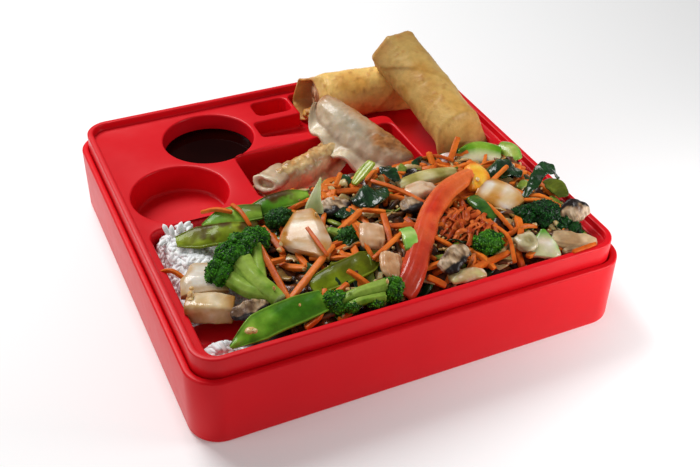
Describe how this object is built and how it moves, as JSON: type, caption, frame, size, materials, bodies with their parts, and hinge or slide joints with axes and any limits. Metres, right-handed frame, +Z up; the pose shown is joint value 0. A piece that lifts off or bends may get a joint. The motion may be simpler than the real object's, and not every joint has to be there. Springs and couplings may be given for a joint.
{
  "type": "bento box meal",
  "caption": "Two-piece red plastic lunch box, its tray pockets filled with rice and stir-fried vegetables, spring rolls, fried dumplings and soy sauce.",
  "frame": {"origin": "centre of the outer box's flat base, on the surface it stands on", "axes": "+X along the front edge to the right, +Y from the front edge to the back, +Z up"},
  "size_m": [0.25, 0.242, 0.0968],
  "materials": {
    "box_red": "smooth satin moulded plastic",
    "tray_red": "smooth satin moulded plastic",
    "soy": "still, glossy dark liquid",
    "fried_wrapper": "crisp fried pastry, blistered, browned in patches",
    "dumpling_dough": "smooth half clear dough with browned patches",
    "rice": "soft steamed grains",
    "carrot": "cut sticks under a thin glaze",
    "green_pod": "smooth cooked pod",
    "broccoli": "tight green buds on smooth stalks",
    "pale_vegetable": "moist, half clear, fine ribs",
    "green_stem": "moist, ribbed",
    "dark_leaf": "thin, veined, wet",
    "mushroom": "smooth cut face with a dark rim",
    "red_pepper": "smooth glossy skin",
    "yellow_pepper": "smooth glossy flesh",
    "bamboo": "ridged, fibrous"
  },
  "bodies": {
    "root": {"outer_box": "box_red", "tray": "tray_red", "soy_sauce": "soy", "spring_roll_back": "fried_wrapper", "spring_roll_top": "fried_wrapper", "dumpling_top": "dumpling_dough", "dumpling_low": "dumpling_dough", "rice": "rice", "stir_fry": "carrot", "snow_pea_front": "green_pod", "snow_pea_middle": "green_pod", "snow_pea_left": "green_pod", "snow_pea_back": "green_pod", "snow_pea_olive": "green_pod", "leaf_olive": "green_pod", "broccoli_left": "broccoli", "broccoli_front": "broccoli", "broccoli_right": "broccoli", "broccoli_small": "broccoli", "broccoli_back": "broccoli", "broccoli_middle": "broccoli", "bok_choy_centre": "pale_vegetable", "bok_choy_fold": "pale_vegetable", "bok_choy_left": "pale_vegetable", "leek_point": "pale_vegetable", "onion_glazed": "pale_vegetable", "onion_clear": "pale_vegetable", "onion_bit": "pale_vegetable", "onion_edge": "pale_vegetable", "chestnut_upper": "pale_vegetable", "chestnut_lower": "pale_vegetable", "chestnut_round": "pale_vegetable", "celery_back": "pale_vegetable", "bok_choy_front": "green_stem", "bok_choy_tip": "green_stem", "bok_choy_right": "green_stem", "bok_choy_curl": "green_stem", "celery_cut": "green_stem", "leaf_tall": "dark_leaf", "leaf_right": "dark_leaf", "leaf_centre": "dark_leaf", "leaf_small": "dark_leaf", "leaf_back": "dark_leaf", "pepper_green": "dark_leaf", "mushroom_right": "mushroom", "mushroom_front": "mushroom", "mushroom_left": "mushroom", "mushroom_back": "mushroom", "mushroom_centre": "mushroom", "pepper_red": "red_pepper", "pepper_yellow": "yellow_pepper", "bamboo_shoot": "bamboo", "bamboo_tip": "bamboo"}
  },
  "joints": []
}
